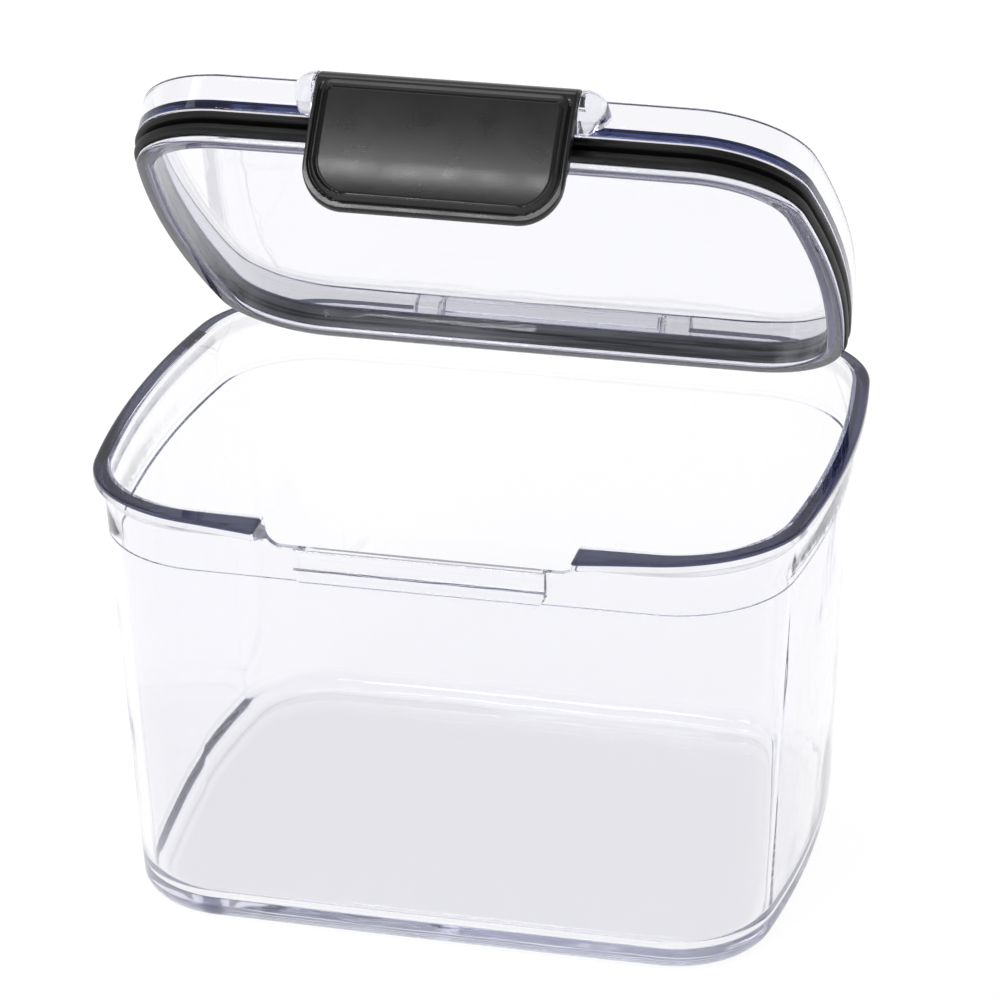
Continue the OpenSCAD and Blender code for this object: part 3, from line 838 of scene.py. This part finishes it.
def latch_mesh():
    """The latch as rows across it: over the front, round the tip, up the back and round the barrel."""
    arc = latch_half - latch_corner_r
    right = np.concatenate([np.linspace(0, arc, 49)[:-1],
                            arc + latch_corner_r * np.sin(np.radians(np.linspace(0, 90, 64)))])
    xs = np.concatenate([-right[:0:-1], right])
    edge = 0.7
    over = np.clip((np.abs(xs) - (latch_half - edge)) / edge, 0, 1)
    trim = edge * (1 - np.sqrt(1 - over ** 2))
    low = latch_low(xs) + trim
    r = latch_barrel_r - trim
    rows = []
    for a in np.radians(np.linspace(90, 4, 16)):
        z = r * math.sin(a)
        rows.append((latch_front(xs, z) + trim, z))
    for z in np.linspace(0, split_z, 61):
        zz = np.full(len(xs), z)
        rows.append((latch_front(xs, zz) + trim, zz))
    for f in np.linspace(0, 1, 71)[1:]:
        zz = split_z + (low + tip_round - split_z) * f
        rows.append((latch_front(xs, zz) + trim, zz))
    end_front = rows[-1][0]
    end_back = latch_back(low + tip_round) - trim
    for a in np.radians([22, 45, 68, 90]):
        zz = low + tip_round * (1 - math.sin(a))
        rows.append((end_front + tip_round * (1 - math.cos(a)), zz))
    for a in np.radians([90, 68, 45, 22, 0]):
        zz = low + tip_round * (1 - math.sin(a))
        rows.append((end_back - tip_round * (1 - math.cos(a)), zz))
    for f in np.linspace(1, 0, 26)[1:]:
        zz = split_z + (low + tip_round - split_z) * f
        rows.append((latch_back(zz) - trim, zz))
    rows.append((np.full(len(xs), flap_in) - trim, np.full(len(xs), -6.0)))
    for a in np.radians(np.linspace(-80, 82, 22)):
        rows.append((np.maximum(r * math.cos(a), flap_in - trim), r * math.sin(a)))
    grid = np.array([np.column_stack([xs, y, z]) for y, z in rows])
    count, cols = grid.shape[:2]
    faces = grid_faces(count, cols, True, False)
    faces.append(tuple(i * cols for i in range(count)))
    faces.append(tuple(i * cols + cols - 1 for i in range(count - 1, -1, -1)))
    return on_latch(grid.reshape(-1, 3)), [f[::-1] for f in faces]


latch = new_object("latch_black", *latch_mesh(), 40)
latch.data.materials.append(latch_look)


def trunnion(side):
    """A latch trunnion with a softened end."""
    root, edge = 0.4, 0.3
    start, end = latch_half - root, latch_half + trunnion_l - running
    profile = np.array([[start, trunnion_r], [end - edge, trunnion_r], [end, trunnion_r - edge]])
    profile = profile * np.array([side, 1])
    verts, faces = lathe_x(profile if side > 0 else profile[::-1], 0, 0, 48)
    return on_latch(verts), faces


pins = [new_object("latch_pin_" + word, *trunnion(side)) for word, side in (("left", -1), ("right", 1))]

# What each piece rides on, and the solid that it stands for
for piece, node, body, slot in (
        (tub, "container", "container", "clear_tub"),
        (lid, "lid", "lid", "clear_lid"),
        (retainer, "seal_retainer", "lid", "clear_retainer"),
        (seal, "lid_seal", "lid", "seal_rubber"),
        (latch, "latch", "latch", "latch_plastic")):
    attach(piece, body)
    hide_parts(node)
for pin in pins:
    pin.data.materials.append(latch_look)
    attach(pin, "latch")

# Studio: a pale floor, a dome that is white behind and greyer overhead, and soft lamps
bounces = 64
scene = bpy.context.scene
scene.view_settings.view_transform = "Standard"
scene.cycles.max_bounces = bounces
scene.cycles.transmission_bounces = bounces
scene.cycles.glossy_bounces = bounces
world = bpy.data.worlds.new("studio")
scene.world = world
world.use_nodes = True


def seen_rays(nt):
    """1 for rays from the camera or that glass and gloss send on, else 0."""
    path = nt.nodes.new("ShaderNodeLightPath")
    total = path.outputs["Is Camera Ray"]
    for name in ("Is Glossy Ray", "Is Transmission Ray"):
        add = nt.nodes.new("ShaderNodeMath")
        add.operation = "MAXIMUM"
        nt.links.new(total, add.inputs[0])
        nt.links.new(path.outputs[name], add.inputs[1])
        total = add.outputs["Value"]
    return total


def build_world(nt, dome):
    """White behind the object and towards the horizon, greyer overhead and in front."""
    grey_until, grey = 0.35, (0.42, 0.42, 0.44)
    white_from, white = 0.5, (1, 1, 1)
    background = nt.nodes["Background"]
    direction = nt.nodes.new("ShaderNodeTexCoord").outputs["Generated"]
    lean_back = nt.nodes.new("ShaderNodeVectorMath")
    lean_back.operation = "DOT_PRODUCT"
    lean_back.inputs[1].default_value = (0, 0.2, -1)
    nt.links.new(direction, lean_back.inputs[0])
    fit = nt.nodes.new("ShaderNodeMapRange")
    fit.inputs["From Min"].default_value = -1
    fit.inputs["From Max"].default_value = 1
    nt.links.new(lean_back.outputs["Value"], fit.inputs["Value"])
    tone = ramp(nt, (grey_until, grey), (white_from, white))
    nt.links.new(fit.outputs["Result"], tone.inputs["Fac"])
    mix = nt.nodes.new("ShaderNodeMix")
    mix.data_type = "RGBA"
    mix.inputs["A"].default_value = (dome, dome, dome, 1)
    nt.links.new(seen_rays(nt), mix.inputs["Factor"])
    nt.links.new(tone.outputs["Color"], mix.inputs["B"])
    nt.links.new(mix.outputs["Result"], background.inputs["Color"])


dome_light = 0.6
build_world(world.node_tree, dome_light)


def build_floor():
    """A pale floor that shows white to the camera and keeps a soft shadow."""
    reach, drop = 5.0, -0.0004
    glow_strength, glow_share = 1.14, 0.8
    corners = [(x * reach, y * reach, drop) for x, y in ((-1, -1), (1, -1), (1, 1), (-1, 1))]
    mesh = bpy.data.meshes.new("floor")
    mesh.from_pydata(corners, [], [(0, 1, 2, 3)])
    made = bpy.data.objects.new("floor", mesh)
    scene.collection.objects.link(made)
    look, nt, p = material("floor_paper")
    p.inputs["Roughness"].default_value = 0.9
    p.inputs["Specular IOR Level"].default_value = 0.1
    place = nt.nodes.new("ShaderNodeTexCoord").outputs["Object"]
    tone = ramp(nt, (0, (0.84, 0.84, 0.845)), (1, (0.88, 0.88, 0.88)))
    nt.links.new(noise(nt, 8, 2, place), tone.inputs["Fac"])
    nt.links.new(tone.outputs["Color"], p.inputs["Base Color"])
    glow = nt.nodes.new("ShaderNodeEmission")
    glow.inputs["Strength"].default_value = glow_strength
    share = nt.nodes.new("ShaderNodeMath")
    share.operation = "MULTIPLY"
    share.inputs[1].default_value = glow_share
    nt.links.new(seen_rays(nt), share.inputs[0])
    blend = nt.nodes.new("ShaderNodeMixShader")
    nt.links.new(share.outputs["Value"], blend.inputs[0])
    nt.links.new(p.outputs["BSDF"], blend.inputs[1])
    nt.links.new(glow.outputs["Emission"], blend.inputs[2])
    nt.links.new(blend.outputs["Shader"], nt.nodes["Material Output"].inputs["Surface"])
    mesh.materials.append(look)


build_floor()


def soft_lamp(name, place, target, size, power):
    """A rectangular lamp at a place, aimed at a target."""
    lamp = bpy.data.lights.new(name, "AREA")
    lamp.shape = "RECTANGLE"
    lamp.size, lamp.size_y = size
    lamp.energy = power
    made = bpy.data.objects.new(name, lamp)
    made.location = place
    made.rotation_euler = (Vector(target) - Vector(place)).to_track_quat("-Z", "Y").to_euler()
    scene.collection.objects.link(made)


soft_lamp("overhead", (-0.28, 0.35, 1.3), (0, 0, 0.1), (0.8, 0.6), 3)
soft_lamp("front", (-0.36, -0.87, 1.02), (0, -0.06, 0.2), (0.36, 0.2), 4)
soft_lamp("left", (-1.1, -0.5, 0.75), (0, 0, 0.12), (0.6, 0.9), 2)

# Camera, fitted to the photograph; focal length and centre in pixels of a square picture
azimuth, elevation, roll = math.radians(14.29), math.radians(25.96), math.radians(-0.80)
distance, focal = 1.1737, 4451.6
centre_x, centre_y, picture, sensor = 491.09, 592.13, 1000, 36
look_at = Vector((0, 0, 0.07))
back = Vector((math.sin(azimuth) * math.cos(elevation), -math.cos(azimuth) * math.cos(elevation),
               math.sin(elevation)))
right = (-back).cross(Vector((0, 0, 1))).normalized()
up = right.cross(-back)
rolled_right = right * math.cos(roll) + up * math.sin(roll)
rolled_up = up * math.cos(roll) - right * math.sin(roll)
camera = bpy.data.objects.new("camera", bpy.data.cameras.new("camera"))
scene.collection.objects.link(camera)
camera.data.sensor_width = sensor
camera.data.lens = focal / picture * sensor
camera.data.shift_x = (picture / 2 - centre_x) / picture
camera.data.shift_y = (centre_y - picture / 2) / picture
camera.data.clip_start, camera.data.clip_end = 0.01, 50
axes = Matrix((rolled_right, rolled_up, back)).transposed().to_4x4()
camera.matrix_world = Matrix.Translation(look_at + back * distance) @ axes
scene.camera = camera
